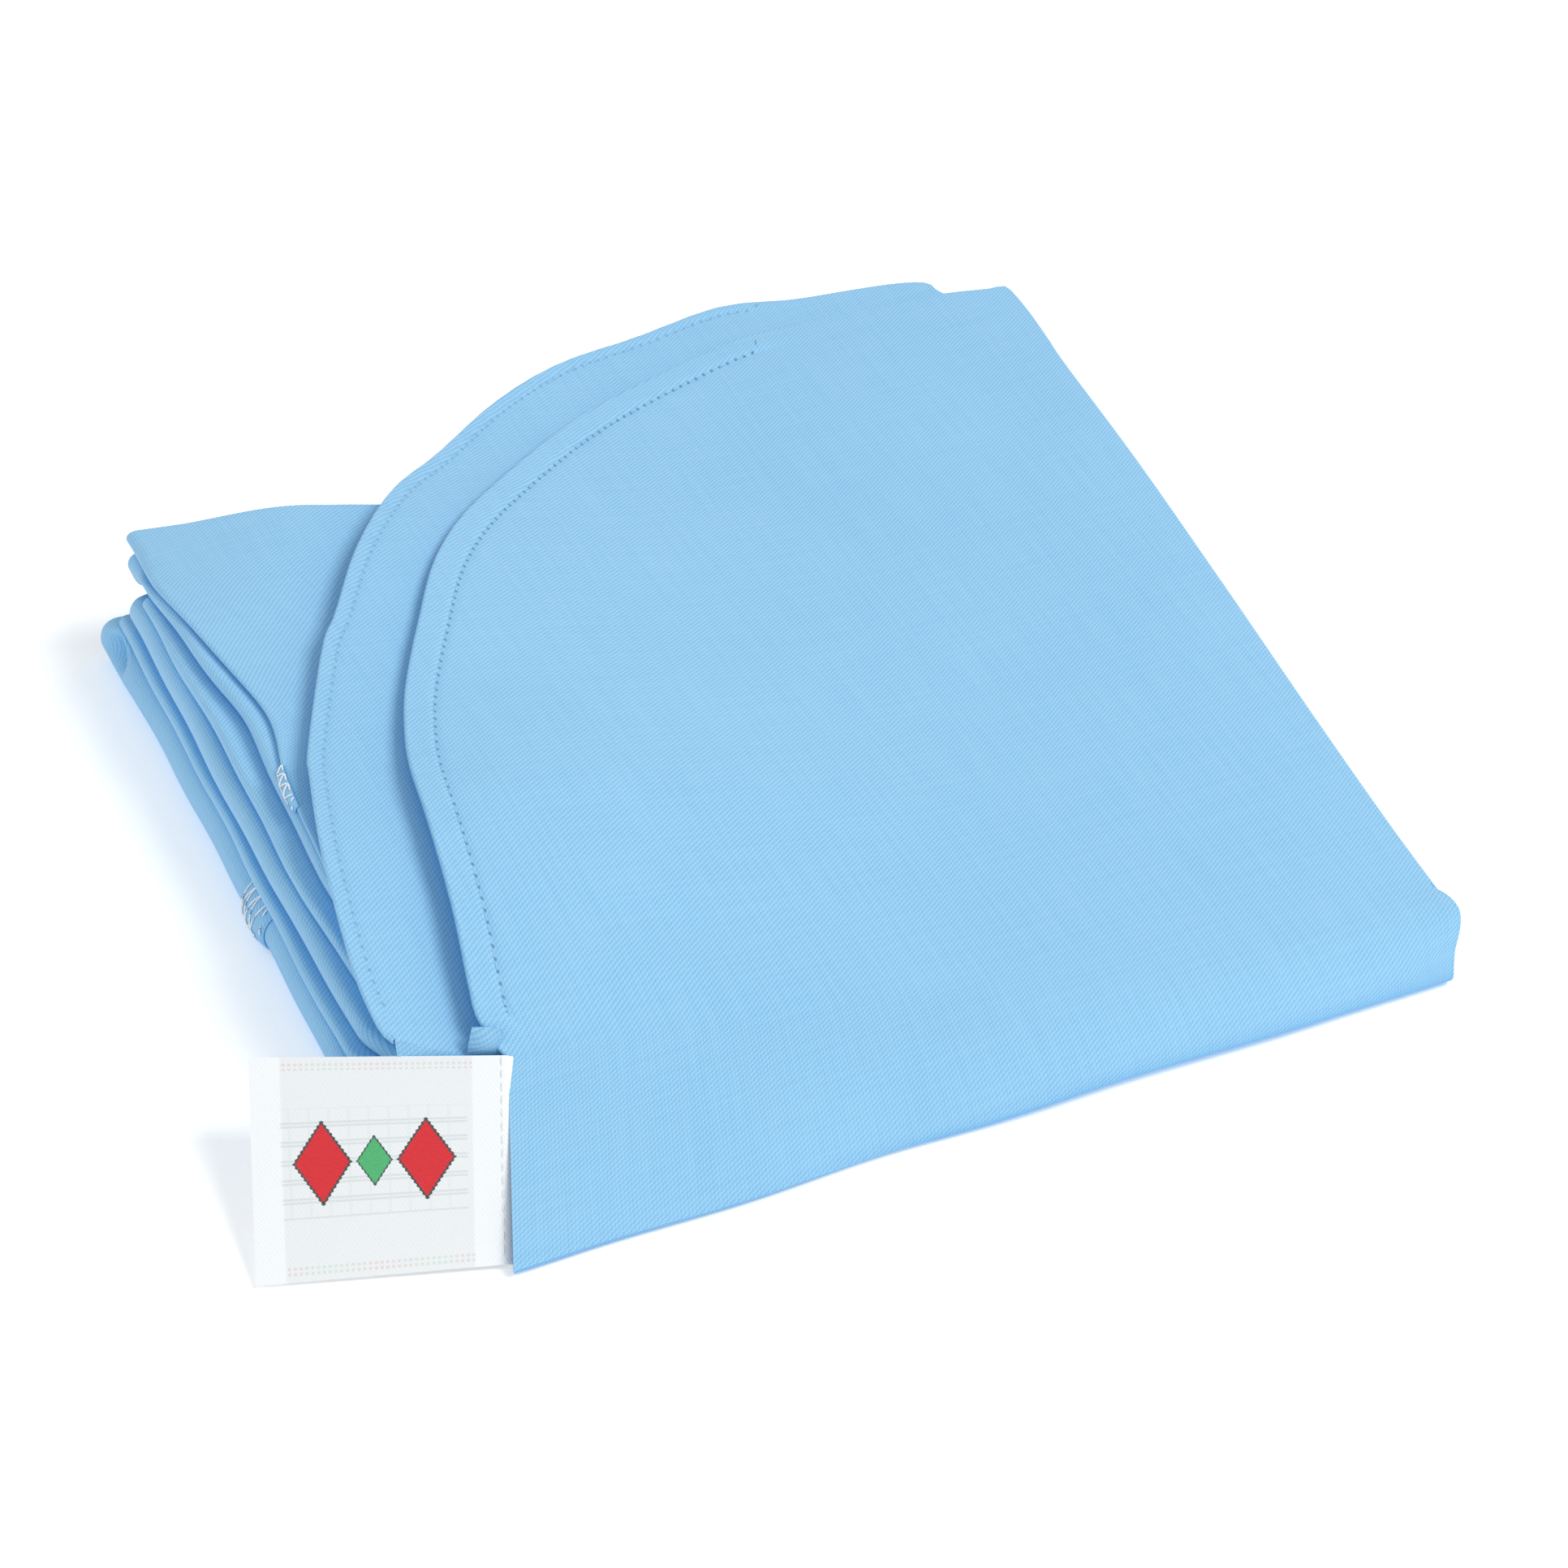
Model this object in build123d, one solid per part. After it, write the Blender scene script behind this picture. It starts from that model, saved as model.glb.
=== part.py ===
"""A patient gown of light woven cotton, folded into a flat pack for storage: six folds of the front panel
with the sleeves, ties and binding laid between them, the two back panels folded over at the near edge,
and a woven label sewn into the near left seam. Millimetres, +Z up, the pack rests on z = 0."""

from build123d import *
import math
import os

# sizes of the pack
PACK_BACK = 99.0  # back edge of the longer back panel
RIGHT_NEAR = 90.0  # right edge at the near corner
RIGHT_BACK = 100.7  # right edge at the back corner
LOW_HEIGHT = 9.4  # height of the pressed right half of the pack
LOFT = 18.0  # how much higher the loose left half stands
LOFT_START = -52.0  # the loose half is full height left of this line
LOFT_RUN = 95.0  # and falls to the low height over this width
FRONT_START = -93.5  # the loft starts to rise here, going back
FRONT_RUN = 72.0  # and is complete after this depth
BACK_START = 31.5  # behind this line the loft falls again
BACK_RUN = 60.0
BACK_DROP = 0.25  # share of the loft that is lost at the back

# cloth
CLOTH = 0.5  # modelled thickness of one loose ply with its air
HEM_DEPTH = 0.4  # modelled thickness of the turned hem under a panel
CLEAR = 0.3  # gap between soft pieces that lie on each other
LEFT_SHARES = (0.0, 0.345, 0.465, 0.70, 0.82, 0.945, 1.0)  # lines between the six folds at the loops
RIGHT_SHARES = (0.0, 0.27, 0.38, 0.62, 0.74, 0.87, 1.0)  # and where the pack is pressed flat
INNER_SHARE = 0.10  # depth of the sleeves, ties and binding, as a share of the folded stack

# the six folds of the front panel
LOWER_LEFT = -77.0  # left loops of the lower folds
UPPER_LEFT = -69.8  # left loops of the upper folds
LOOP_STEP = 1.3  # each lower loop lies this much further right than the one under it
LOWER_BACK = 60.5  # back end of the lowest fold at the left
BACK_STEP = 4.3  # each lower fold ends this much further forward than the one under it
UPPER_BACK = 62.0  # back end of the two upper folds, which reach out over the lower ones
WAIST_BACK = 57.0  # all folds' back edge further right
FOLD_NEAR = -91.0  # near edge of the folds at the right
FOLD_RIGHT = 88.0
CORNER_Y = -55.5  # the folds turn in here, behind the label

# the two back panels
TOP_BACK = 87.0  # straight back edge of the top panel
TOP_LEFT = -51.0
SECOND_LEFT = -71.5
HEM_WIDTH = 4.0  # narrow hem on the rounded free edge
STITCH = 0.35  # width and height of a row of stitches
STITCH_HIGH = 0.2
TOP_STITCH_IN = 3.6  # from the edge to the row
SECOND_STITCH_IN = 1.8

# sleeves, ties and binding
SLEEVE_WIDTH = 74.0
SLEEVE_NEAR = -70.0
SLEEVE_LONG = 100.0
SLEEVE_HEM = 18.0
TIE_WIDTH = 11.0
TIE_LONG = 96.0
TIE_PITCH = 14.0
BINDING_WIDTH = 10.0
BINDING_LONG = 130.0
BOTTOM_HEM = 20.0

# seams with overlocked edges that show on the loops
SEAM_THICK = 0.6  # the allowance that stands out from the loop
OVERLOCK_THICK = 0.4  # the threads over it
SEAM_LONG = 9.5
RIGHT_SEAM_Y = -17.5
LEFT_SEAM_Y = -14.5
RIGHT_SEAM_SHARES = (0.07, 0.31)  # from and to, as shares of the folded stack
LEFT_SEAM_SHARES = (0.87, 0.985)

# woven label
LABEL_WIDE = 37.0
LABEL_HIGH = 33.5
LABEL_THICK = 0.5
LABEL_TURN = 9.0  # width of the turned end at the seam
SEAM_X = -55.0  # top of the label's seam
SEAM_Y = -68.5
SEAM_PROUD = 0.2  # the seam's top stands this much over the pack's top
SEAM_FOOT = Vector(-66.0, -95.0, 1.2)
LABEL_LIFT = 0.5  # from the seam line to the label


def smooth(t):
    t = min(max(t, 0.0), 1.0)
    return t * t * (3 - 2 * t)


def crown(x, y):
    """Height of the pack's top: low and flat at the right, lofted at the left, falling to the near edge."""
    across = 1 - smooth((x - LOFT_START) / LOFT_RUN)
    along = smooth((y - FRONT_START) / FRONT_RUN)
    behind = 1 - BACK_DROP * smooth((y - BACK_START) / BACK_RUN)
    return LOW_HEIGHT + LOFT * across * along * behind


SEAM_TOP = Vector(SEAM_X, SEAM_Y, crown(SEAM_X, SEAM_Y) + SEAM_PROUD)


def under(height):
    """All the space under a height function, as one big block."""
    xs = [-110 + 20 * i for i in range(12)]
    ys = [-110 + 20 * j for j in range(12)]
    grid = [[Vector(x, y, height(x, y)) for y in ys] for x in xs]
    roof = Face.make_surface_from_array_of_points(grid)
    return extrude(roof, 90, dir=(0, 0, -1))


def layer(outline, low, high):
    """The slice of an upright prism between two height functions."""
    solid = extrude(outline, 60) & under(high)
    return solid if low is None else solid - under(low)


def core_depth():
    """Depth that the two back panels and their hems take from the crown."""
    return 2 * (CLEAR + HEM_DEPTH + CLOTH)


def stack(x, y):
    """Height of the folded stack under the two back panels."""
    return crown(x, y) - core_depth()


def share(k, x):
    """The line between fold k and the next, as a share that shifts from the loops to the right."""
    return LEFT_SHARES[k] + (RIGHT_SHARES[k] - LEFT_SHARES[k]) * smooth((x + 60) / 90)


def fold_slab(k, outline):
    """One fold, a clearance thinner than its share."""
    def top(x, y):
        return stack(x, y) * share(k + 1, x) - CLEAR

    def bottom(x, y):
        return stack(x, y) * share(k, x)

    return layer(outline, None if k == 0 else bottom, top)


def inner_slab(k, outline):
    """A flat piece that lies in the top of fold k."""
    def top(x, y):
        return stack(x, y) * share(k + 1, x) - CLEAR

    def bottom(x, y):
        return stack(x, y) * (share(k + 1, x) - INNER_SHARE)

    return layer(outline, bottom, top)


def recess(k, x0, x1, y0, y1):
    """The hollow in the top of fold k around a flat piece with this outline, a clearance larger all round."""
    def floor(x, y):
        return stack(x, y) * (share(k + 1, x) - INNER_SHARE) - CLEAR

    return extrude(box_face(x0 - CLEAR, x1 + CLEAR, y0 - CLEAR, y1 + CLEAR), 60) - under(floor)


def seam_slab(outline, shares):
    """A piece on the outside of a loop, between two shares of the stack."""
    return layer(outline, lambda x, y: stack(x, y) * shares[0], lambda x, y: stack(x, y) * shares[1])


def polygon(*points):
    return make_face(Polyline(*points, close=True))


def box_face(x0, x1, y0, y1):
    return polygon((x0, y0), (x1, y0), (x1, y1), (x0, y1))


def fold_face(left, back):
    """Plan of one fold, its near left corner cut behind the label."""
    return polygon(
        (left, CORNER_Y), (-66.0, -61.5), (-50.0, -72.0), (FOLD_RIGHT, FOLD_NEAR),
        (RIGHT_BACK - 4, 80.0), (40.0, 80.0), (-10.0, WAIST_BACK + 2), (-38.0, WAIST_BACK),
        (-60.0, (back + WAIST_BACK) / 2), (left, back),
    )


def top_plan(inset=0.0):
    """Plan of the top back panel, its free edge rounded from the back to the left side."""
    left = TOP_LEFT
    edge = [
        Line((RIGHT_NEAR, -88.0), (RIGHT_BACK, 70.0)),
        Line((RIGHT_BACK, 70.0), (RIGHT_BACK - 3, 82.0)),
        Line((RIGHT_BACK - 3, 82.0), (88.0, TOP_BACK - 1)),
        Line((88.0, TOP_BACK - 1), (50.0, TOP_BACK)),
        ThreePointArc((50.0, TOP_BACK), (-15.0, 48.0), (left, -25.0)),
        Line((left, -25.0), (left - 4, -68.0)),
        Line((left - 4, -68.0), (RIGHT_NEAR, -88.0)),
    ]
    face = make_face(edge)
    return face if inset == 0 else offset(face, -inset)


def second_plan(inset=0.0):
    """Plan of the second back panel, which shows past the top one at the back and the left."""
    left = SECOND_LEFT
    edge = [
        Line((RIGHT_NEAR - 2, -87.5), (RIGHT_BACK - 2, 72.0)),
        Line((RIGHT_BACK - 2, 72.0), (88.0, 92.0)),
        Line((88.0, 92.0), (50.0, PACK_BACK)),
        ThreePointArc((50.0, PACK_BACK), (-28.0, 54.0), (left + 3.5, -20.0)),
        Line((left + 3.5, -20.0), (left, -50.0)),
        Line((left, -50.0), (left + 1, -58.5)),
        Line((left + 1, -58.5), (-62.0, -63.0)),
        Line((-62.0, -63.0), (-53.0, -67.0)),
        Line((-53.0, -67.0), (RIGHT_NEAR - 2, -87.5)),
    ]
    face = make_face(edge)
    return face if inset == 0 else offset(face, -inset)


def free_edge(plan, start, width):
    """A band along the rounded free edge of a panel, from the left side round to the back."""
    ring = plan(start) - plan(start + width)
    return ring & box_face(-100.0, 50.0, -60.0, 110.0)


def lifted(amount):
    return lambda x, y: crown(x, y) - core_depth() + amount


def panel(plan, base):
    """One back panel: a single ply that follows the pack's top."""
    return layer(plan(), lifted(base + HEM_DEPTH), lifted(base + HEM_DEPTH + CLOTH))


def hem(plan, base):
    """The turned hem under the panel's free edge."""
    return layer(free_edge(plan, 0.0, HEM_WIDTH), lifted(base), lifted(base + HEM_DEPTH))


def stitches(plan, base, start):
    """The sewing thread of the hem, lying on the panel."""
    low = base + HEM_DEPTH + CLOTH
    return layer(free_edge(plan, start, STITCH), lifted(low), lifted(low + STITCH_HIGH))


def strip_section(plane, outer, thick):
    """A bent strip's section: a smooth outer curve and the same curve moved inwards."""
    curve = Spline(*outer)
    inner = Spline(*[inward(outer, i, thick) for i in range(len(outer))])
    ends = [Line(curve @ 0, inner @ 0), Line(curve @ 1, inner @ 1)]
    return plane * make_face([curve, inner] + ends)


def inward(points, i, thick):
    """A point of the curve moved inwards, square to the line between its neighbours."""
    a, b = points[max(i - 1, 0)], points[min(i + 1, len(points) - 1)]
    dx, dz = b[0] - a[0], b[1] - a[1]
    length = math.hypot(dx, dz)
    return points[i][0] + dz / length * thick, points[i][1] - dx / length * thick


def near_wrap(inset):
    """The panel's cloth where it turns round the near edge, high at the label and low at the right."""
    turn = Vector(SEAM_FOOT.X - SEAM_TOP.X, SEAM_FOOT.Y - SEAM_TOP.Y, 0)
    side = turn.cross(Vector(0, 0, 1))
    left = Plane(origin=(SEAM_TOP.X + 1 + inset, SEAM_TOP.Y, 0), x_dir=turn, z_dir=side)
    right = Plane(origin=(RIGHT_NEAR - inset, -88.6, 0), x_dir=(0, -1, 0), z_dir=(-1, 0, 0))
    top, long, deep = SEAM_TOP.Z - inset, turn.length - inset, LOW_HEIGHT - inset
    slope = [(1, top), (10, top - 3.6), (20, top - 7.8), (long - 0.8, 3.4), (long - 2.5, 0.8 + inset / 3)]
    bend = [(1, deep), (5.5 - inset / 2, deep - 0.7), (9.5 - inset, deep - 2.9),
            (10.4 - inset, 4.0), (7 - inset, 0.6 + inset / 3)]
    return loft([strip_section(left, slope, CLOTH), strip_section(right, bend, CLOTH)])


def label_plane():
    """The label's own plane: x to its free end, y up the seam, z out of its face."""
    up = (SEAM_TOP - SEAM_FOOT).normalized()
    out = Vector(-35.0, 13.5, 0.0)
    out = (out - up * out.dot(up)).normalized()
    return Plane(origin=SEAM_FOOT + out * LABEL_LIFT, x_dir=out, z_dir=up.cross(out) * -1)


def label_block(x0, x1, y0, y1, z0, z1):
    return label_plane() * Pos((x0 + x1) / 2, (y0 + y1) / 2, (z0 + z1) / 2) * Box(x1 - x0, y1 - y0, z1 - z0)


def sleeve_boxes():
    """Name and plan box of both sleeves and their hems, laid flat side by side."""
    end = SLEEVE_NEAR + SLEEVE_LONG
    for side, x in (("right", -70.0), ("left", -66.0 + SLEEVE_WIDTH)):
        yield f"{side}_sleeve", (x, x + SLEEVE_WIDTH, SLEEVE_NEAR + 16, end)
        yield f"{side}_sleeve_hem", (x, x + SLEEVE_WIDTH, end + CLEAR, end + SLEEVE_HEM)


def trim_boxes():
    """Name and plan box of the ties, the neck binding and the front panel's bottom hem."""
    names = ("neck_tie_right", "neck_tie_left", "waist_tie_right", "waist_tie_left")
    for n, name in enumerate(names):
        x = -58.0 + TIE_PITCH * n
        yield name, (x, x + TIE_WIDTH, -60.0, -60.0 + TIE_LONG)
    yield "neck_binding", (-60.0, -60.0 + BINDING_LONG, 42.0, 42.0 + BINDING_WIDTH)
    yield "bottom_hem", (60.0, 60.0 + BOTTOM_HEM, -80.0, 36.0)


def front_folds():
    """Six folds of the front panel, four in the lower bundle and two in the upper one, with hollows for the
    sleeves in the first and for the ties, binding and hem in the third."""
    made = {}
    for k in range(6):
        lower = k < 4
        left = LOWER_LEFT + k * LOOP_STEP if lower else UPPER_LEFT
        back = LOWER_BACK - k * BACK_STEP if lower else UPPER_BACK
        made[f"front_panel_fold_{k + 1}"] = fold_slab(k, fold_face(left, back))
    for k, boxes in ((0, sleeve_boxes()), (2, trim_boxes())):
        for _, box in boxes:
            made[f"front_panel_fold_{k + 1}"] -= recess(k, *box)
    return made


def inner_pieces():
    """Sleeves and their hems in the first fold; ties, binding and bottom hem in the third."""
    return {name: inner_slab(k, box_face(*box))
            for k, boxes in ((0, sleeve_boxes()), (2, trim_boxes())) for name, box in boxes}


def side_seams():
    """The two side seams where they show on the loops, and their overlock threads."""
    made = {}
    for side, x, y, shares in (("right", LOWER_LEFT, RIGHT_SEAM_Y, RIGHT_SEAM_SHARES),
                               ("left", UPPER_LEFT, LEFT_SEAM_Y, LEFT_SEAM_SHARES)):
        skin = x - SEAM_THICK
        made[f"side_seam_{side}"] = seam_slab(box_face(skin, x, y, y + SEAM_LONG), shares)
        thread = box_face(skin - OVERLOCK_THICK, skin, y, y + SEAM_LONG)
        made[f"side_seam_{side}_overlock"] = seam_slab(thread, shares)
    return made


def back_panels():
    """The two back panels that lie on the pack, with their hems and rows of stitches."""
    second, top = CLEAR, 2 * CLEAR + HEM_DEPTH + CLOTH
    return {
        "left_back_panel": panel(second_plan, second),
        "left_back_hem": hem(second_plan, second),
        "left_back_hem_stitches": stitches(second_plan, second, SECOND_STITCH_IN),
        "left_back_near_wrap": near_wrap(1.2),
        "right_back_panel": panel(top_plan, top),
        "right_back_hem": hem(top_plan, top),
        "right_back_hem_stitches": stitches(top_plan, top, TOP_STITCH_IN),
        "right_back_near_wrap": near_wrap(0.0),
    }


def label():
    """The woven label, its turned end and the stitches that hold it in the seam."""
    half = LABEL_THICK / 2
    return {
        "label": label_block(0, LABEL_WIDE, 0, LABEL_HIGH, -half, half),
        "label_turned_end": label_block(0, LABEL_TURN, 0.6, LABEL_HIGH - 0.6, half, half + 0.3),
        "label_stitches": label_block(0.8, 0.8 + STITCH, 1.0, LABEL_HIGH - 1.0, half + 0.3, half + 0.5),
    }


def main():
    os.makedirs("parts", exist_ok=True)
    nodes = {**front_folds(), **inner_pieces(), **side_seams(), **back_panels(), **label()}
    for name, shape in nodes.items():
        export_step(shape, f"parts/{name}.step")


main()
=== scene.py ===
"""A folded patient gown: accordion folds of light woven cotton with two hemmed back panels folded over
them, overlocked side seams that peep out between the loops, and a woven label in the near left seam.
All shapes are worked out in millimetres and put into meshes in metres."""

import math
import bpy
import numpy as np
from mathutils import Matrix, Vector


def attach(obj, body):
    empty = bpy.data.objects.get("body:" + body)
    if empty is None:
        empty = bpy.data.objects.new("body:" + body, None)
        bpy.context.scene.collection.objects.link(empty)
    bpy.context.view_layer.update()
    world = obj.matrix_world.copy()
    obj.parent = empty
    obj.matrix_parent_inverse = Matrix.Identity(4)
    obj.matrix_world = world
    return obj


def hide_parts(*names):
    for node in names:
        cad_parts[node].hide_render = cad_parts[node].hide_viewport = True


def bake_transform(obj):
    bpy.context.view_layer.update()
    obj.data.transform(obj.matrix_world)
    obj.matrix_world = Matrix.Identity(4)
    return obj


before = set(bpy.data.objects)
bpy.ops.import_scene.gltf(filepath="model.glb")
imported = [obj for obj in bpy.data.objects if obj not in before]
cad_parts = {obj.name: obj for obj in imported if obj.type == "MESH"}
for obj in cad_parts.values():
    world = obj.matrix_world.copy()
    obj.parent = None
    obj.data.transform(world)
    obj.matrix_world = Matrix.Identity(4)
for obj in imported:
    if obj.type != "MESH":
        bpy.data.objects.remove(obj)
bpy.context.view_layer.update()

MM = 0.001

# ---------------------------------------------------------------- sizes of the pack, millimetres
LOW_HEIGHT, LOFT, LOFT_START, LOFT_RUN = 9.4, 18.0, -52.0, 95.0
FRONT_START, FRONT_RUN = -93.5, 72.0
BACK_START, BACK_RUN, BACK_DROP = 31.5, 60.0, 0.25
PANELS_DEPTH = 2.4
CLOTH = 0.32
WARP, WEFT = 0.53, 0.37


# ---------------------------------------------------------------- height fields and small helpers
def smooth(t):
    """Soft step: 3t^2 - 2t^3 between 0 and 1."""
    t = np.clip(t, 0.0, 1.0)
    return t * t * (3 - 2 * t)


def bell(x, middle, width):
    """Soft hump: exp(-((x - middle) / width)^2)."""
    return np.exp(-((x - middle) / width) ** 2)


def crown(x, y):
    """Height of the pack's top: low and flat at the right, lofted at the left, falling to the near edge."""
    across = 1 - smooth((x - LOFT_START) / LOFT_RUN)
    along = smooth((y - FRONT_START) / FRONT_RUN)
    behind = 1 - BACK_DROP * smooth((y - BACK_START) / BACK_RUN)
    return LOW_HEIGHT + LOFT * across * along * behind


def waves(x, y, seed, count=6, long=60.0, short=18.0, turn=0.0, spread=0.6):
    """Sum of sine waves in slightly different directions about `turn`, scaled to about -1..1."""
    g = np.random.default_rng(seed)
    total = np.zeros(np.broadcast(x, y).shape)
    for _ in range(count):
        a = turn + g.uniform(-spread, spread)
        k = 2 * np.pi / g.uniform(short, long)
        total += np.sin((x * np.cos(a) + y * np.sin(a)) * k + g.uniform(0, 6.28)) / count
    return total * 1.8


def along_curve(points, n):
    """n points evenly spaced by length on a Catmull-Rom curve through the given points."""
    p = np.array(points, float)
    p = np.vstack([2 * p[0] - p[1], p, 2 * p[-1] - p[-2]])
    t = np.linspace(0, 1, 40, endpoint=False)[:, None]
    runs = []
    for i in range(1, len(p) - 2):
        a, b, c, d = p[i - 1], p[i], p[i + 1], p[i + 2]
        runs.append(0.5 * (2 * b + (c - a) * t + (2 * a - 5 * b + 4 * c - d) * t ** 2
                           + (3 * b - a - 3 * c + d) * t ** 3))
    line = np.vstack(runs + [p[-2][None]])
    s = np.concatenate([[0], np.cumsum(np.linalg.norm(np.diff(line, axis=0), axis=1))])
    at = np.linspace(0, s[-1], n)
    return np.stack([np.interp(at, s, line[:, k]) for k in range(line.shape[1])], -1), at


# ---------------------------------------------------------------- meshes
def mesh_object(name, points, faces, uvs, material, second=None, angle=40):
    """A mesh from points (n, 3) in millimetres, quads (m, 4) and one texture point for each point."""
    mesh = bpy.data.meshes.new(name)
    mesh.vertices.add(len(points))
    mesh.vertices.foreach_set("co", (np.asarray(points, np.float32) * MM).ravel())
    mesh.loops.add(faces.size)
    mesh.loops.foreach_set("vertex_index", faces.ravel().astype(np.int32))
    mesh.polygons.add(len(faces))
    mesh.polygons.foreach_set("loop_start", (np.arange(len(faces)) * faces.shape[1]).astype(np.int32))
    for label, values in (("cloth", uvs), ("seam", second)):
        if values is not None:
            layer = mesh.uv_layers.new(name=label)
            layer.uv.foreach_set("vector", np.asarray(values, np.float32)[faces.ravel()].ravel())
    mesh.update()
    mesh.validate()
    mesh.polygons.foreach_set("use_smooth", np.ones(len(mesh.polygons), bool))
    mesh.set_sharp_from_angle(angle=math.radians(angle))
    obj = bpy.data.objects.new(name, mesh)
    bpy.context.scene.collection.objects.link(obj)
    obj.data.materials.append(material)
    return obj


def grid_faces(rows, columns, start=0, closed=False):
    """Quads of a rows by columns grid; closed joins the last column to the first."""
    i = np.arange(rows - 1)[:, None]
    j = np.arange(columns if closed else columns - 1)[None]
    a, b = i * columns + j, i * columns + (j + 1) % columns
    return np.stack([a, b, b + columns, a + columns], -1).reshape(-1, 4) + start


def grid_normals(p, closed=False):
    """Unit normals of a grid of points, from its two directions."""
    du = np.gradient(p, axis=0)
    if closed:
        dv = (np.roll(p, -1, 1) - np.roll(p, 1, 1)) / 2
    else:
        dv = np.gradient(p, axis=1)
    n = np.cross(du, dv)
    return n / np.maximum(np.linalg.norm(n, axis=-1, keepdims=True), 1e-9)


def cloth_sheet(name, p, uv, material, thick=CLOTH, closed=False, second=None):
    """A sheet of cloth: the grid of middle points moved half the thickness to each side, rims closed.
    p is rows by columns by 3; closed joins the last column to the first."""
    rows, columns = p.shape[:2]
    n = grid_normals(p, closed) * thick / 2
    count = rows * columns
    points = np.concatenate([(p + n).reshape(-1, 3), (p - n).reshape(-1, 3)])
    top = grid_faces(rows, columns, 0, closed)
    under = grid_faces(rows, columns, count, closed)[:, ::-1]
    rims = []
    ids = np.arange(count).reshape(rows, columns)
    borders = [ids[0, ::-1], ids[-1, :]] + ([] if closed else [ids[:, 0], ids[::-1, -1]])
    for line in borders:
        if closed:
            line = np.append(line, line[0])
        rims.append(np.stack([line[1:], line[:-1], line[:-1] + count, line[1:] + count], -1))
    faces = np.concatenate([top, under] + rims)
    uvs = np.concatenate([uv.reshape(-1, 2)] * 2)
    two = None if second is None else np.concatenate([second.reshape(-1, 2)] * 2)
    return mesh_object(name, points, faces, uvs, material, two)


def tube(line, radius, sides=6):
    """A round thread along a line: rings of `sides` points square to the line's direction."""
    line = np.asarray(line, float)
    t = np.gradient(line, axis=0)
    t /= np.linalg.norm(t, axis=1, keepdims=True)
    ref = np.where(np.abs(t[:, 2:]) > 0.9, np.array([[1.0, 0, 0]]), np.array([[0, 0, 1.0]]))
    a = np.cross(t, ref)
    a /= np.linalg.norm(a, axis=1, keepdims=True)
    b = np.cross(t, a)
    w = np.linspace(0, 2 * np.pi, sides, endpoint=False)
    taper = np.ones(len(line))
    taper[[0, -1]] = 0.3
    ring = a[:, None] * np.cos(w)[None, :, None] + b[:, None] * np.sin(w)[None, :, None]
    return line[:, None] + ring * radius * taper[:, None, None]


def threads(name, lines, radius, material, sides=6):
    """Many separate threads in one mesh, each a tube along its own line."""
    points, faces, start = [], [], 0
    for line in lines:
        ring = tube(line, radius, sides)
        points.append(ring.reshape(-1, 3))
        faces.append(grid_faces(ring.shape[0], sides, start, closed=True))
        start += ring.shape[0] * sides
    points = np.concatenate(points)
    return mesh_object(name, points, np.concatenate(faces), points[:, :2] * MM, material, angle=80)


# ---------------------------------------------------------------- shader node groups
def group(name, inputs, outputs):
    """An empty shader node group with its sockets: name, socket type and default for each input."""
    tree = bpy.data.node_groups.new(name, "ShaderNodeTree")
    for title, kind, value in inputs:
        socket = tree.interface.new_socket(title, in_out="INPUT", socket_type=kind)
        if value is not None:
            socket.default_value = value
    for title, kind in outputs:
        tree.interface.new_socket(title, in_out="OUTPUT", socket_type=kind)
    return tree, tree.nodes.new("NodeGroupInput"), tree.nodes.new("NodeGroupOutput")


class Wiring:
    """Short ways to add math, mix and vector nodes to one tree."""

    def __init__(self, tree):
        self.tree = tree

    def put(self, socket, value):
        if hasattr(value, "is_output"):
            self.tree.links.new(value, socket)
        elif value is not None:
            socket.default_value = value

    def math(self, operation, a, b=None, c=None, clamp=False):
        node = self.tree.nodes.new("ShaderNodeMath")
        node.operation, node.use_clamp = operation, clamp
        for socket, value in zip(node.inputs, (a, b, c)):
            self.put(socket, value)
        return node.outputs[0]

    def mix(self, factor, a, b, kind="RGBA", blend="MIX"):
        node = self.tree.nodes.new("ShaderNodeMix")
        node.data_type = kind
        if kind == "RGBA":
            node.blend_type = blend
        spots = {"RGBA": (6, 7, 2), "FLOAT": (2, 3, 0)}[kind]
        self.put(node.inputs[0], factor)
        self.put(node.inputs[spots[0]], a)
        self.put(node.inputs[spots[1]], b)
        return node.outputs[spots[2]]

    def noise(self, vector, scale, detail=2.0, rough=0.5):
        node = self.tree.nodes.new("ShaderNodeTexNoise")
        self.put(node.inputs["Vector"], vector)
        node.inputs["Scale"].default_value = scale
        node.inputs["Detail"].default_value = detail
        node.inputs["Roughness"].default_value = rough
        return node.outputs["Fac"]

    def scaled(self, vector, scale):
        node = self.tree.nodes.new("ShaderNodeMapping")
        self.put(node.inputs["Vector"], vector)
        node.inputs["Scale"].default_value = scale
        return node.outputs["Vector"]

    def split(self, vector):
        node = self.tree.nodes.new("ShaderNodeSeparateXYZ")
        self.put(node.inputs[0], vector)
        return node.outputs

    def ramp(self, value, low, high, a=0.0, b=1.0):
        node = self.tree.nodes.new("ShaderNodeMapRange")
        node.interpolation_type = "SMOOTHSTEP"
        for socket, v in zip(node.inputs, (value, low, high, a, b)):
            self.put(socket, v)
        return node.outputs[0]


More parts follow.
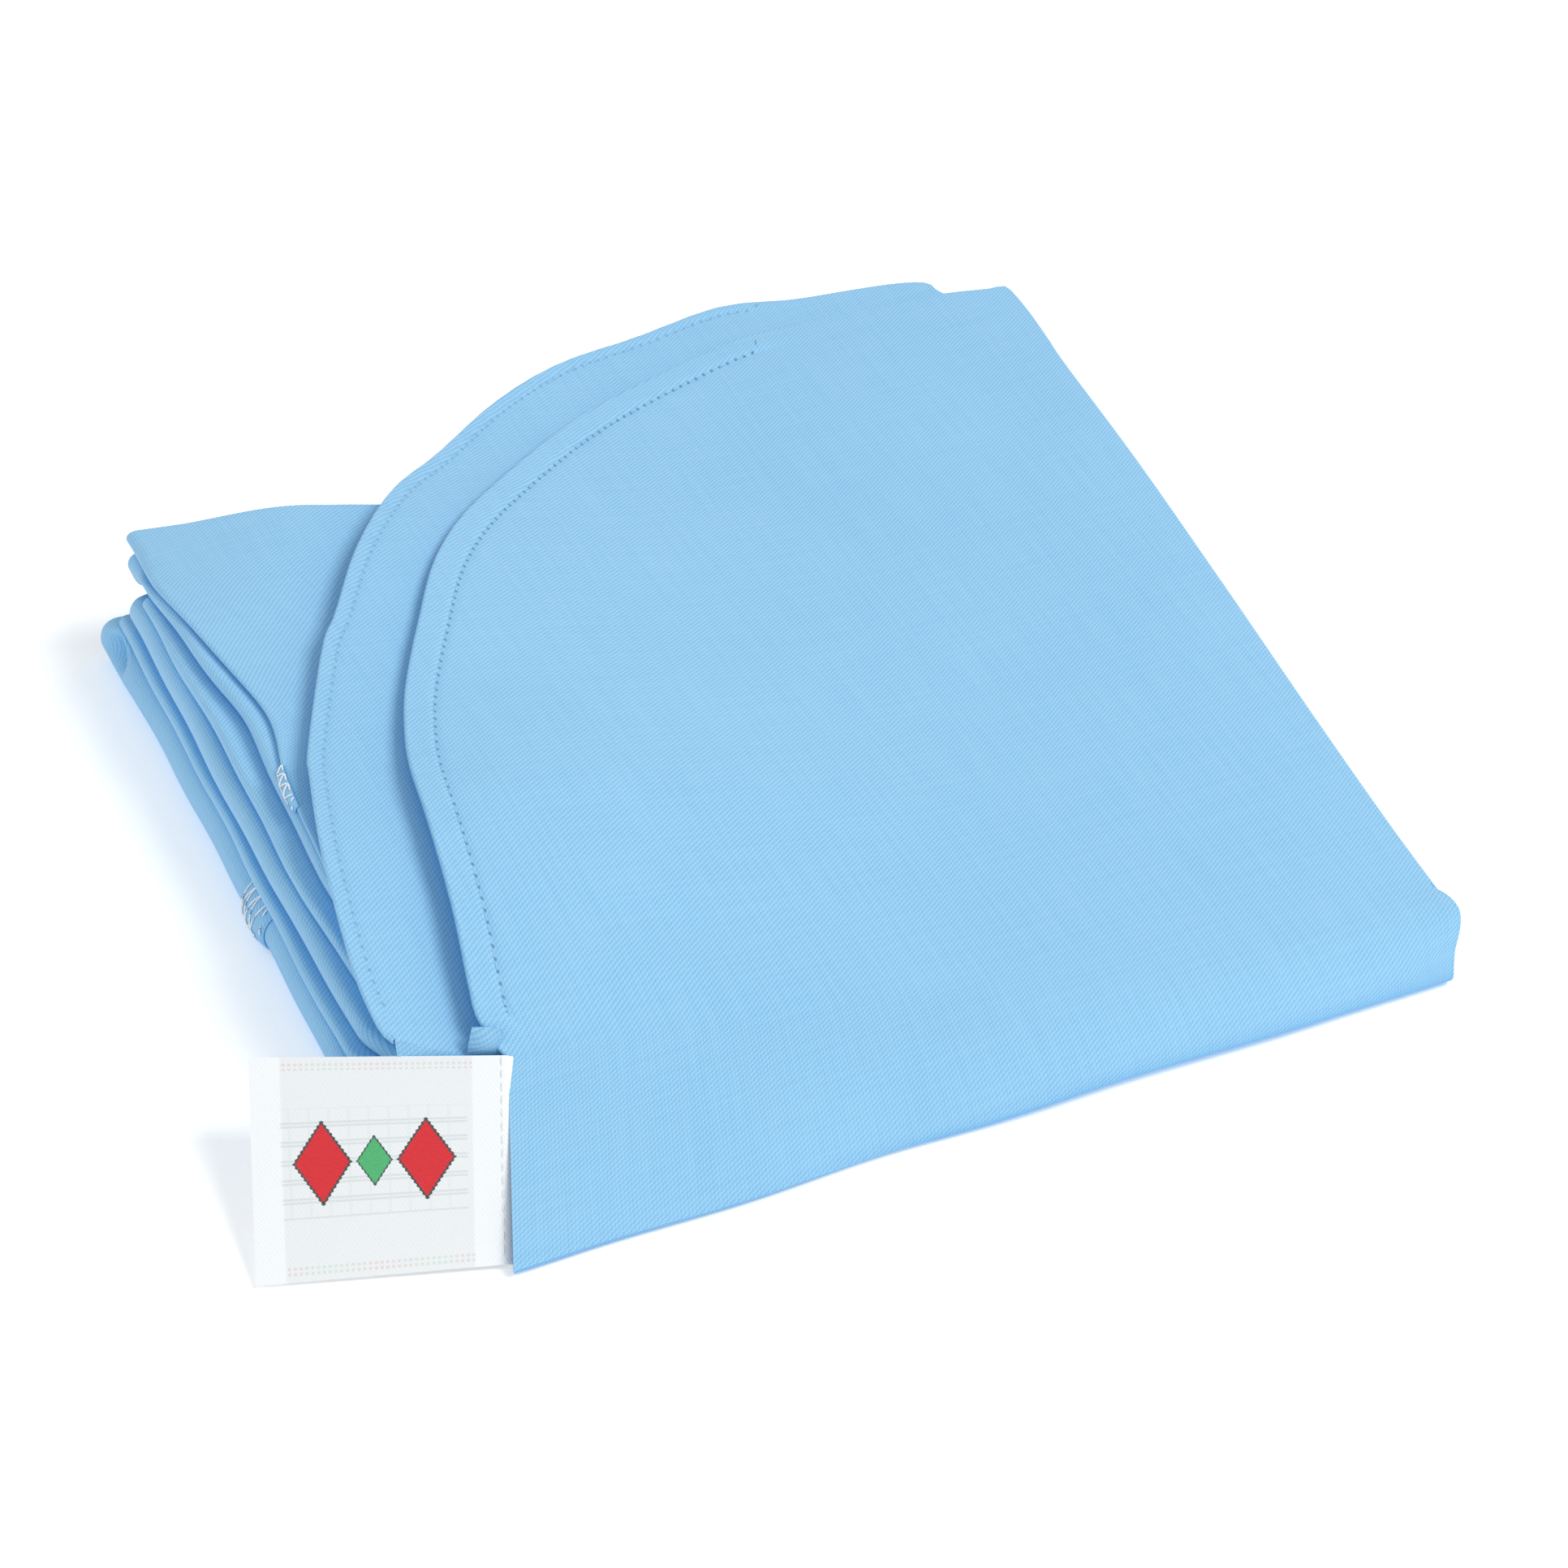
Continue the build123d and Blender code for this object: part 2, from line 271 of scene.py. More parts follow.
def weave_group():
    """Plain weave. With u and v counted in threads, warp height is
    |sin(pi u)| (0.62 + 0.38 cos(pi (v + floor u))) and weft height is
    |sin(pi v)| (0.62 - 0.38 cos(pi (u + floor v))); the higher of the two is the surface.
    Each yarn varies a little along its length, as spun cotton does."""
    tree, start, end = group("plain_weave", [
        ("Vector", "NodeSocketVector", None), ("Warp pitch", "NodeSocketFloat", WARP),
        ("Weft pitch", "NodeSocketFloat", WEFT), ("Slub", "NodeSocketFloat", 0.5),
    ], [("Height", "NodeSocketFloat"), ("Yarn", "NodeSocketFloat")])
    w = Wiring(tree)
    xyz = w.split(start.outputs["Vector"])
    u = w.math("DIVIDE", xyz[0], start.outputs["Warp pitch"])
    v = w.math("DIVIDE", xyz[1], start.outputs["Weft pitch"])

    def thread(a, b, sign):
        profile = w.math("ABSOLUTE", w.math("SINE", w.math("MULTIPLY", a, math.pi)))
        phase = w.math("MULTIPLY", w.math("ADD", b, w.math("FLOOR", a)), math.pi)
        over = w.math("MULTIPLY_ADD", w.math("COSINE", phase), 0.38 * sign, 0.62)
        return w.math("MULTIPLY", profile, over)

    height = w.math("MAXIMUM", thread(u, v, 1), thread(v, u, -1))
    across = w.noise(w.scaled(start.outputs["Vector"], (0.05, 1 / WEFT / 1.7, 1.0)), 1.0, 2.0)
    along = w.noise(w.scaled(start.outputs["Vector"], (1 / WARP / 1.7, 0.05, 1.0)), 1.0, 2.0)
    slub = w.math("MULTIPLY", w.math("SUBTRACT", w.math("ADD", across, along), 1.0), start.outputs["Slub"])
    w.put(end.inputs["Height"], w.math("ADD", height, w.math("MULTIPLY", slub, 0.5)))
    w.put(end.inputs["Yarn"], slub)
    return tree


def new_material(name):
    material = bpy.data.materials.new(name)
    material.use_nodes = True
    tree = material.node_tree
    return material, tree, tree.nodes["Principled BSDF"], Wiring(tree)


def uv_vector(tree, layer, scale=1.0):
    """A UV layer's coordinates; the layers hold millimetres divided by 1000."""
    node = tree.nodes.new("ShaderNodeUVMap")
    node.uv_map = layer
    mapping = tree.nodes.new("ShaderNodeMapping")
    mapping.inputs["Scale"].default_value = (scale, scale, scale)
    tree.links.new(node.outputs[0], mapping.inputs["Vector"])
    return mapping.outputs[0]


SHADE_TINT = (0.38, 0.76, 0.98, 1)  # painted shade: in hollows between layers the cloth's colour is multiplied by this blue tint, standing in for shade and blue bounced light


def cloth_material(name, light, dark, weave, rough=0.88, stitch=None):
    """Woven cotton: the weave sets height, the low points between threads get painted shade, and colour
    varies broadly and softly; painted shade from an occlusion node also darkens and blues hollows between
    layers. stitch = (distance from the edge, pitch, strength) adds the small needle holes of a seam, dimpled
    and darkened with painted shade."""
    material, tree, bsdf, w = new_material(name)
    cloth = uv_vector(tree, "cloth", 1000.0)
    node = tree.nodes.new("ShaderNodeGroup")
    node.node_tree = weave
    node.inputs["Slub"].default_value = 0.55
    w.put(node.inputs["Vector"], cloth)
    height, yarn = node.outputs["Height"], node.outputs["Yarn"]
    # painted shade: the low points between threads take the dark colour, the thread crowns the light one
    gap_shade = w.ramp(height, 0.1, 0.9)
    colour = w.mix(gap_shade, (*dark, 1), (*light, 1))
    broad = w.noise(cloth, 0.03, 3.0)
    colour = w.mix(w.math("MULTIPLY_ADD", w.math("ADD", yarn, broad), 0.30, 0.0, clamp=True),
                   colour, (*[min(1.0, c * 1.12) for c in light], 1))
    # painted shade: an ambient occlusion node darkens and blues the colour in hollows between layers, where
    # shade falls
    hollow = tree.nodes.new("ShaderNodeAmbientOcclusion")
    hollow.samples = 6
    hollow.inputs["Distance"].default_value = 0.015
    shade = w.math("SUBTRACT", 1.0, w.ramp(hollow.outputs["AO"], 0.10, 0.92))
    painted_shade_colour = w.mix(1.0, colour, SHADE_TINT, blend="MULTIPLY")
    colour = w.mix(shade, colour, painted_shade_colour)
    bump_height = height
    if stitch:
        inset, pitch, strength = stitch
        s, d, _ = w.split(uv_vector(tree, "seam", 1000.0))
        near = w.math("SUBTRACT", 1.0, w.ramp(w.math("ABSOLUTE", w.math("SUBTRACT", d, inset)), 0.1, 0.42))
        beat = w.math("COSINE", w.math("MULTIPLY", s, 2 * math.pi / pitch))
        hole = w.math("MULTIPLY", near, w.ramp(beat, 0.1, 0.95))
        # painted shade: the needle holes are darkened in colour as well as dimpled in the bump
        colour = w.mix(w.math("MULTIPLY", hole, strength), colour, (*[c * 0.35 for c in dark], 1))
        bump_height = w.math("MULTIPLY_ADD", hole, -3.0, bump_height)
    w.put(bsdf.inputs["Base Color"], colour)
    bump = tree.nodes.new("ShaderNodeBump")
    bump.inputs["Strength"].default_value = 0.28
    bump.inputs["Distance"].default_value = 0.00010
    w.put(bump.inputs["Height"], bump_height)
    w.put(bsdf.inputs["Normal"], bump.outputs[0])
    bsdf.inputs["Roughness"].default_value = rough
    bsdf.inputs["Specular IOR Level"].default_value = 0.25
    bsdf.inputs["Sheen Weight"].default_value = 0.25
    bsdf.inputs["Sheen Roughness"].default_value = 0.5
    return material


def thread_material(name, colour, twist=0.45):
    """Twisted thread: a fine slanting bump and a little colour variation."""
    material, tree, bsdf, w = new_material(name)
    place = tree.nodes.new("ShaderNodeTexCoord").outputs["Object"]
    fine = w.noise(w.scaled(place, (1 / (twist * MM),) * 3), 1.0, 2.0)
    w.put(bsdf.inputs["Base Color"], w.mix(fine, (*[c * 0.82 for c in colour], 1), (*colour, 1)))
    bump = tree.nodes.new("ShaderNodeBump")
    bump.inputs["Strength"].default_value = 0.4
    bump.inputs["Distance"].default_value = 0.0001
    w.put(bump.inputs["Height"], fine)
    w.put(bsdf.inputs["Normal"], bump.outputs[0])
    bsdf.inputs["Roughness"].default_value = 0.7
    bsdf.inputs["Specular IOR Level"].default_value = 0.35
    return material


def label_material():
    """White woven label: bright plain margins, a greyer figured middle with faint crossing lines, rows of
    coloured loops along two edges, and a plain pattern of lozenges in red and green with dark outlines."""
    material, tree, bsdf, w = new_material("label_satin")
    place = uv_vector(tree, "cloth", 1000.0)
    x, y, _ = w.split(place)

    def band(value, low, high, soft=0.25):
        return w.math("MULTIPLY", w.ramp(value, low - soft, low + soft),
                      w.math("SUBTRACT", 1.0, w.ramp(value, high - soft, high + soft)))

    def lines(value, pitch, offset, width):
        cell = w.math("PINGPONG", w.math("SUBTRACT", value, offset), pitch / 2)
        return w.math("SUBTRACT", 1.0, w.ramp(cell, width / 2, width / 2 + 0.12))

    middle = band(x, 5.2, 33.0)
    colour = w.mix(middle, (0.91, 0.925, 0.94, 1), (0.83, 0.845, 0.855, 1))
    grid_zone = w.math("MULTIPLY", band(x, 6.0, 33.2), band(y, 9.0, 25.5))
    double = w.math("MAXIMUM", lines(y, 2.85, 0.0, 0.22), lines(y, 2.85, 0.55, 0.22))
    rows = w.math("MULTIPLY", w.math("MULTIPLY", double, grid_zone), 0.34)
    columns = w.math("MULTIPLY", w.math("MULTIPLY", lines(x, 2.9, 0.0, 0.35), grid_zone), 0.10)
    colour = w.mix(w.math("MAXIMUM", rows, columns), colour, (0.45, 0.53, 0.53, 1))
    # lozenges: |x| / a + |y| / b < 1 in each cell of a row of three
    outline = body_red = body_green = None
    lozenges = ((12.0, 17.2, 4.4, 6.6, 0), (19.6, 17.2, 2.7, 4.0, 1), (27.2, 17.2, 4.4, 6.6, 0))
    for centre_x, centre_y, a, b, green in lozenges:
        dx = w.math("DIVIDE", w.math("ABSOLUTE", w.math("SUBTRACT", x, centre_x)), a)
        dy = w.math("DIVIDE", w.math("ABSOLUTE", w.math("SUBTRACT", y, centre_y)), b)
        jag = w.math("MULTIPLY", w.math("SINE", w.math("MULTIPLY", y, 2 * math.pi / 0.62)), 0.025)
        field = w.math("ADD", w.math("ADD", dx, dy), jag)
        inside = w.math("SUBTRACT", 1.0, w.ramp(field, 0.97, 1.0))
        core = w.math("SUBTRACT", 1.0, w.ramp(field, 0.88, 0.91))
        outline = inside if outline is None else w.math("MAXIMUM", outline, inside)
        if green:
            body_green = core
        else:
            body_red = core if body_red is None else w.math("MAXIMUM", body_red, core)
    satin = w.noise(w.scaled(place, (0.9, 5.5, 1.0)), 1.0, 3.0)
    red = w.mix(satin, (0.55, 0.010, 0.015, 1), (0.80, 0.025, 0.04, 1))
    green = w.mix(satin, (0.04, 0.33, 0.12, 1), (0.11, 0.55, 0.20, 1))
    colour = w.mix(outline, colour, (0.03, 0.045, 0.045, 1))
    colour = w.mix(body_red, colour, red)
    colour = w.mix(body_green, colour, green)
    # rows of coloured loops near the two cut edges
    edge_rows = w.math("MAXIMUM", band(y, 0.7, 2.1, 0.1), band(y, 31.4, 32.9, 0.1))
    knots = w.math("MULTIPLY", lines(x, 0.85, 0.2, 0.36), lines(y, 0.8, 0.3, 0.34))
    loops = w.math("MULTIPLY", knots, edge_rows)
    shift = w.math("MULTIPLY_ADD", w.math("SINE", w.math("MULTIPLY", x, 0.42)), 0.5, 0.5)
    loop_colour = w.mix(shift, (0.55, 0.72, 0.60, 1), (0.80, 0.52, 0.53, 1))
    colour = w.mix(w.math("MULTIPLY", w.math("MULTIPLY", loops, middle), 0.55), colour, loop_colour)
    # satin: slanting floats, finer on the margins
    up = w.math("ADD", w.math("MULTIPLY", x, 0.62), y)
    down = w.math("SUBTRACT", w.math("MULTIPLY", y, 0.62), x)
    slant = w.math("SINE", w.math("MULTIPLY", up, 2 * math.pi / 0.55))
    cross = w.math("SINE", w.math("MULTIPLY", down, 2 * math.pi / 0.6))
    relief = w.math("MULTIPLY", w.math("ADD", slant, cross), 0.25)
    relief = w.math("ADD", relief, w.math("MULTIPLY", w.math("MAXIMUM", body_red, body_green), 1.2))
    # painted shade: the low points of the satin relief are darkened towards grey blue
    colour = w.mix(w.math("MULTIPLY_ADD", relief, -0.14, 0.05, clamp=True), colour, (0.55, 0.62, 0.66, 1))
    w.put(bsdf.inputs["Base Color"], colour)
    bump = tree.nodes.new("ShaderNodeBump")
    bump.inputs["Strength"].default_value = 0.35
    bump.inputs["Distance"].default_value = 0.00010
    w.put(bump.inputs["Height"], relief)
    w.put(bsdf.inputs["Normal"], bump.outputs[0])
    bsdf.inputs["Roughness"].default_value = 0.55
    bsdf.inputs["Specular IOR Level"].default_value = 0.4
    bsdf.inputs["Sheen Weight"].default_value = 0.2
    return material


WEAVE = weave_group()
# the light blue is the lit cloth; the shaded blue is painted shade for the weave's low points and the needle
# holes
LIGHT_BLUE, SHADED_BLUE = (0.325, 0.595, 0.830), (0.195, 0.465, 0.745)
SHEETING = cloth_material("blue_sheeting", LIGHT_BLUE, SHADED_BLUE, WEAVE)
TOP_CLOTH = cloth_material("blue_sheeting_hemmed_top", LIGHT_BLUE, SHADED_BLUE, WEAVE, stitch=(4.2, 1.95, 0.75))
SECOND_CLOTH = cloth_material("blue_sheeting_hemmed_second", LIGHT_BLUE, SHADED_BLUE, WEAVE,
                              stitch=(1.9, 1.95, 0.35))
# the binding's second colour is likewise painted shade for its weave's low points
TAPE = cloth_material("blue_binding", (0.335, 0.60, 0.83), (0.225, 0.49, 0.75), WEAVE)
BLUE_THREAD = thread_material("blue_thread", (0.35, 0.63, 0.87))
WHITE_THREAD = thread_material("white_thread", (0.97, 0.98, 0.99))
LABEL_CLOTH = label_material()

# ---------------------------------------------------------------- the pack's inner heights
LEFT_SHARES = (0.0, 0.345, 0.465, 0.70, 0.82, 0.945, 1.0)
RIGHT_SHARES = (0.0, 0.27, 0.38, 0.62, 0.74, 0.87, 1.0)
TOP_OUTLINE = (
    (-55.0, -68.5), (-57.4, -63.0), (-56.8, -57.5), (-54.4, -45.0), (-52.2, -30.0), (-50.3, -17.0),
    (-47.6, -7.5), (-43.8, 2.0), (-36.6, 16.0), (-26.6, 33.5), (-12.3, 50.2), (10.0, 69.6), (30.3, 81.2),
    (50.2, 87.2), (70.0, 87.0), (84.0, 86.0), (91.0, 85.2), (98.3, 83.4), (100.9, 83.2), (101.4, 80.0),
    (101.3, 74.0), (100.7, 65.6), (100.0, 57.4), (98.4, 25.8), (95.8, -8.4), (93.1, -41.5), (90.9, -70.8),
    (90.0, -88.0),
)
SECOND_OUTLINE = (
    (-70.3, -60.6), (-71.5, -58.0), (-71.8, -50.0), (-70.4, -38.0), (-68.4, -26.5), (-64.7, -11.5),
    (-62.7, -5.5), (-52.6, 16.2), (-47.8, 23.7), (-38.6, 39.0), (-26.7, 54.6), (-16.7, 64.2), (-1.0, 78.6),
    (17.1, 90.4), (33.3, 95.7), (50.8, 99.2), (63.8, 96.6), (76.2, 94.6), (84.0, 93.0), (89.0, 91.0),
    (89.8, 88.0), (92.0, 84.5), (97.0, 80.0), (98.5, 72.0), (96.2, 30.0), (91.6, -30.0), (88.8, -76.0),
    (88.2, -87.0),
)


def edge_field(points, line, length):
    """For each point, its distance to a line of points and the length along the line to the nearest one."""
    best_d = np.full(points.shape[:2], 1e9)
    best_s = np.zeros(points.shape[:2])
    a, b = line[:-1], line[1:]
    for i in range(points.shape[0]):
        v = points[i][:, None] - a[None]
        t = np.clip((v * (b - a)).sum(-1) / ((b - a) ** 2).sum(-1), 0, 1)
        gap = np.linalg.norm(v - t[..., None] * (b - a), axis=-1)
        j = gap.argmin(1)
        k = np.arange(len(j))
        best_d[i] = gap[k, j]
        best_s[i] = length[j] + t[k, j] * (length[j + 1] - length[j])
    return best_d, best_s


def relief_table():
    """Unevenness that all layers share, on a 1.5 mm table: broad low waves, and a hollow that follows the top
    panel's free left edge just outside it, deepest near the label."""
    x, y = np.meshgrid(np.arange(-85, 108, 1.5), np.arange(-100, 106, 1.5), indexing="ij")
    loose = 1 - smooth((x + 10) / 90)
    low_waves = 0.42 * waves(x, y, 3, 6, 85, 40, 0.25, 0.9) * (0.4 + 0.6 * loose) * smooth((y + 92) / 30)
    line, length = along_curve(TOP_OUTLINE, 300)
    gap, _ = edge_field(np.stack([x, y], -1), line, length)
    left = 1 - smooth((x + 35 + 0.55 * np.clip(y, -90, 60)) / 50)
    depth = (0.7 + 1.4 * smooth((20 - y) / 80)) * smooth((y + 78) / 14)
    second, length = along_curve(SECOND_OUTLINE, 300)
    outside, _ = edge_field(np.stack([x, y], -1), second, length)
    dip = (0.8 + 1.2 * smooth(y / 40)) * bell(outside, 0, 11.0)
    dip = dip * (1 - smooth((x + 5) / 40)) * smooth((y + 60) / 20)
    shared = low_waves - depth * bell(gap, 0, 8.5) * left * (1 - smooth((y - 30) / 40))
    return x[:, 0], y[0], shared, dip


RELIEF_X, RELIEF_Y, SHARED, FOLDS_DIP = relief_table()


def ripple(x, y, table=None):
    """The shared unevenness at x, y, by linear interpolation in the table."""
    table = SHARED if table is None else table
    x, y = np.broadcast_arrays(x, y)
    a = np.clip((x - RELIEF_X[0]) / 1.5, 0, len(RELIEF_X) - 1.001)
    b = np.clip((y - RELIEF_Y[0]) / 1.5, 0, len(RELIEF_Y) - 1.001)
    i, j = a.astype(int), b.astype(int)
    a, b = a - i, b - j
    return ((table[i, j] * (1 - a) + table[i + 1, j] * a) * (1 - b)
            + (table[i, j + 1] * (1 - a) + table[i + 1, j + 1] * a) * b)


def core(x, y):
    """Top of the six folds, under the two back panels."""
    return crown(x, y) - PANELS_DEPTH + 0.35 + ripple(x, y) - ripple(x, y, FOLDS_DIP)


def share_line(k, x, y):
    """Height of the line between fold k and the next: a share of the core that shifts from left to right."""
    t = smooth((x + 60) / 90)
    share = LEFT_SHARES[k] + (RIGHT_SHARES[k] - LEFT_SHARES[k]) * t
    if k == 5:
        share = share - 0.075 * smooth((y - 40) / 18) * (1 - t)
    if k == 4:
        share = share - 0.19 * smooth((y - 51) / 8) * (1 - t)
    wander = 0.0
    if 0 < k < 6:
        wander = 0.010 * np.sin(y / 21.0 + 1.7 * k) + 0.006 * np.sin(y / 9.0 + 0.9 * k)
    return core(x, y) * (share + wander * (1 - t))


def flat_tube(name, left, right, near, back, low, high, nose, material, rows, half, skew=None, dent=False):
    """A flattened tube of cloth: its section goes along the lower ply, round a nose at the left, back
    along the upper ply and round a nose at the right; it is carried from the near end to the back end.
    left and right give x at y, low and high give the plies' heights at x, y."""
    v = np.linspace(0, 1, rows)[:, None]
    # parameter round the section: 0..1 lower ply right to left, 1..2 upper ply left to right
    q = np.linspace(0, 1, half)
    ease = 0.5 - 0.5 * np.cos(np.pi * q)
    lower, upper = 1 - ease[None], ease[None]
    x_of = np.concatenate([lower, upper[:, 1:-1]], 1)
    side = np.concatenate([-np.ones((1, half)), np.ones((1, half - 2))], 1)
    y0 = near + v * (back - near)
    xl, xr = left(y0), right(y0)
    x = xl + (xr - xl) * x_of
    y = y0 + 0 * x + (0 if skew is None else skew(x, v))
    lo, hi = low(x, y), high(x, y)
    middle, semi = (lo + hi) / 2, np.maximum((hi - lo) / 2, 0.02)
    d = np.minimum((x - xl) / np.maximum(nose * semi, 0.3), (xr - x) / np.maximum(semi, 0.3))
    round_off = np.sqrt(np.clip(1 - (1 - np.clip(d, 0, 1)) ** 2, 0, 1))
    z = middle + side * semi * round_off
    if dent:
        # the lowest fold's back end gapes: a hollow on the upper side of its nose
        close = 1 - smooth((x - xl) / 9)
        x = x + 4.2 * bell(y, 54.0, 3.0) * bell(z, 5.4, 1.5) * close
        z = z + (1.2 * bell(y, 57.0, 3.2) - 1.4 * bell(y, 51.5, 2.4)) * smooth((z - 2.5) / 4) * close
    p = np.stack([x, y, z], -1)
    step = np.linalg.norm(np.diff(p, axis=1, append=p[:, :1]), axis=-1)
    along = np.concatenate([np.zeros((rows, 1)), np.cumsum(step[:, :-1], 1)], 1)
    uv = np.stack([along * MM, y * MM], -1)
    return cloth_sheet(name, p, uv, material, closed=True)


FOLD_NOSES = (
    ((-66, -77.0), (-30, -76.9), (0, -77.1), (45, -77.2), (55, -78.2), (62, -77.6)),
    ((-66, -75.9), (-30, -76.0), (0, -75.7), (30, -75.6), (62, -75.2)),
    ((-66, -74.6), (-30, -74.4), (0, -74.9), (30, -74.5), (62, -74.2)),
    ((-66, -71.8), (-45, -71.9), (-20, -72.8), (10, -72.4), (30, -73.2), (62, -72.8)),
    ((-66, -69.5), (-45, -69.0), (-20, -69.6), (-5, -69.0), (12, -68.2), (24, -70.2), (45, -72.0),
     (62, -71.4)),
    ((-66, -68.0), (-45, -68.6), (-31, -69.0), (-18, -68.7), (-5, -67.7), (4, -65.9), (11, -65.0),
     (19, -66.6), (28, -68.7), (46, -71.4), (63, -70.6)),
)
FOLD_BACKS = (60.5, 56.5, 52.0, 47.5, 61.5, 63.2)


def fold_left(k):
    """Left loop line of fold k: nearly straight, turning in behind the label."""
    y_at, x_at = np.array(FOLD_NOSES[k], float).T
    fine = np.linspace(y_at[0], y_at[-1], 120)
    blur = np.exp(-((fine[:, None] - fine[None]) / 5.0) ** 2)
    soft = (blur * np.interp(fine, y_at, x_at)[None]).sum(1) / blur.sum(1)

    def line(y):
        turn = 7.0 * smooth((-50.0 - y) / 14.0) + 0.95 * k * smooth((-26.0 - y) / 34.0)
        return np.interp(y, fine, soft) + turn + 0.12 * np.sin(y / 4.1 + 1.3 * k)
    return line


def fold_right(k):
    return lambda y: 88.0 + (y + 91) / 170.0 * 8.0 - 0.5 * (k % 2) + 0 * y


def fold_skew(k):
    """Moves the ends of fold k along y: the back edge dips a little, then runs slantwise further back at the
    right; the near edge runs further forward at the right."""
    start = FOLD_BACKS[k]
    top = k >= 4

    def skew(x, v):
        if top:
            back = np.interp(x, (-71, -61, -38, -27, -10, 40, 95),
                             (start, start - 2.6, start - 6.2, start - 6.5, 59, 79, 80))
        else:
            back = np.interp(x, (-77, -60, -27, -10, 40, 95), (start, min(start + 3, 57), 55.5, 57, 78, 79))
        near = np.interp(x, (-77, -68, -55, -20, 88), (-61.5, -62.5, -70, -82, -90.5))
        return v * (back - start) + (1 - v) * (near + 61)
    return skew


def front_folds():
    """The front panel's six folds as flattened tubes, stacked with dark lines between their noses."""
    for k in range(6):
        def low(x, y, k=k):
            return np.maximum(share_line(k, x, y) + 0.10 + CLOTH / 2, CLOTH / 2)

        def high(x, y, k=k):
            return share_line(k + 1, x, y) - 0.10 - CLOTH / 2

        nose = NOSES[k]
        rows = 230 if k < 5 else 200
        piece = flat_tube(f"front_panel_fold_{k + 1}_cloth", fold_left(k), fold_right(k), -61.0,
                          FOLD_BACKS[k], low, high, nose, SHEETING, rows, 100, fold_skew(k), dent=(k == 0))
        place(piece, "folded_pack", "blue_sheeting", [f"front_panel_fold_{k + 1}"], (0.35, 0.155), "folded")


def place(obj, body, slot, nodes, flat=None, held="folded", rests=()):
    """Puts obj on its body and hides the replaced nodes. slot is not used; flat, for cloth the flat size it
    was cut to, has no effect.
    """
    if body is not None:
        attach(obj, body)
    if nodes:
        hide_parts(*nodes)
    if flat is not None:
        list(rests)
    return obj


def band_under(k, thick):
    """Heights for a flat piece inside fold k, just under the fold's upper ply."""
    def middle(x, y):
        return share_line(k + 1, x, y) - 0.10 - CLOTH - 0.12 - (thick + CLOTH) / 2
    return (lambda x, y: middle(x, y) - thick / 2), (lambda x, y: middle(x, y) + thick / 2)


def upright(x):
    """A straight edge at x all along y."""
    return lambda y: x + 0 * y


def hidden_pieces():
    """Sleeves in the lowest fold; ties, neck binding and bottom hem in the third."""
    for side, x0 in (("right", -66.0), ("left", 8.0)):
        low, high = band_under(0, 0.42)
        for part, y0, y1 in (("sleeve", -54.0, 30.0), ("sleeve_hem", 30.3, 48.0)):
            piece = flat_tube(f"{side}_{part}_cloth", upright(x0), upright(x0 + 70), y0, y1, low, high,
                              1.0, SHEETING, 40 if part == "sleeve" else 12, 40)
            place(piece, "folded_pack", "blue_sheeting", [f"{side}_{part}"],
                  (0.141, (y1 - y0) * MM), "folded")
    low, high = band_under(2, 0.36)
    for n, name in enumerate(("neck_tie_right", "neck_tie_left", "waist_tie_right", "waist_tie_left")):
        a = -58.0 + 14.0 * n
        piece = flat_tube(f"{name}_tape", upright(a), upright(a + 11.0), -50.0, 36.0, low, high,
                          1.0, TAPE, 40, 16)
        place(piece, "folded_pack", "blue_binding", [name], (0.0225, 0.086), "folded")
    piece = flat_tube("bottom_hem_cloth", upright(60.0), upright(80.0), -70.0, 36.0,
                      low, high, 1.0, SHEETING, 40, 20)
    place(piece, "folded_pack", "blue_sheeting", ["bottom_hem"], (0.0405, 0.106), "folded")
    piece = flat_tube("neck_binding_tape", upright(-60.0), upright(68.0), 42.0, 52.0,
                      low, high, 1.0, TAPE, 12, 90)
    place(piece, "folded_pack", "blue_binding", ["neck_binding"], (0.257, 0.010), "folded")


# ---------------------------------------------------------------- back panels
SLOPE_OUT = ((0, 14.4), (9, 11.0), (18, 7.4), (25, 4.0), (28.3, 1.5), (27.6, 0.4))
BEND_OUT = ((0, 9.4), (4.4, 9.1), (8.3, 7.6), (10.9, 4.9), (11.6, 2.4), (11.2, 1.0), (10.4, 0.35))
CORNER_OUT = ((0, 15.8), (0.5, 14.6), (2.4, 11.0), (6.0, 7.0), (9.6, 3.4), (11.0, 1.4), (10.4, 0.45))


def shrink(points, by):
    """A section moved inwards so that it nests in the one outside it."""
    return tuple((a - by * min(1.0, a / 6.0), max(b - by * 0.75, 0.3)) for a, b in points)


def near_edge(u, places, sections):
    """Places is (u, x, y) along the near line and sections is (u, curve); gives the near line, and for 46
    points round the edge the reach outwards and the height, changing softly from section to section."""
    at, x, y = np.array(places, float).T
    line = np.stack([np.interp(u, at, x), np.interp(u, at, y)], -1)
    curves = np.array([along_curve(curve, 46)[0] for _, curve in sections])
    knots = np.array([k for k, _ in sections])
    mixed = []
    for c in range(2):
        rows = curves[:, :, c]
        out = np.empty((46, len(u)))
        for i in range(len(knots) - 1):
            t = smooth((u - knots[i]) / (knots[i + 1] - knots[i]))
            pick = (u >= knots[i]) & (u <= knots[i + 1])
            out[:, pick] = (rows[i][:, None] * (1 - t) + rows[i + 1][:, None] * t)[:, pick]
        out[:, u > knots[-1]] = rows[-1][:, None]
        mixed.append(out)
    return line, mixed[0], mixed[1]


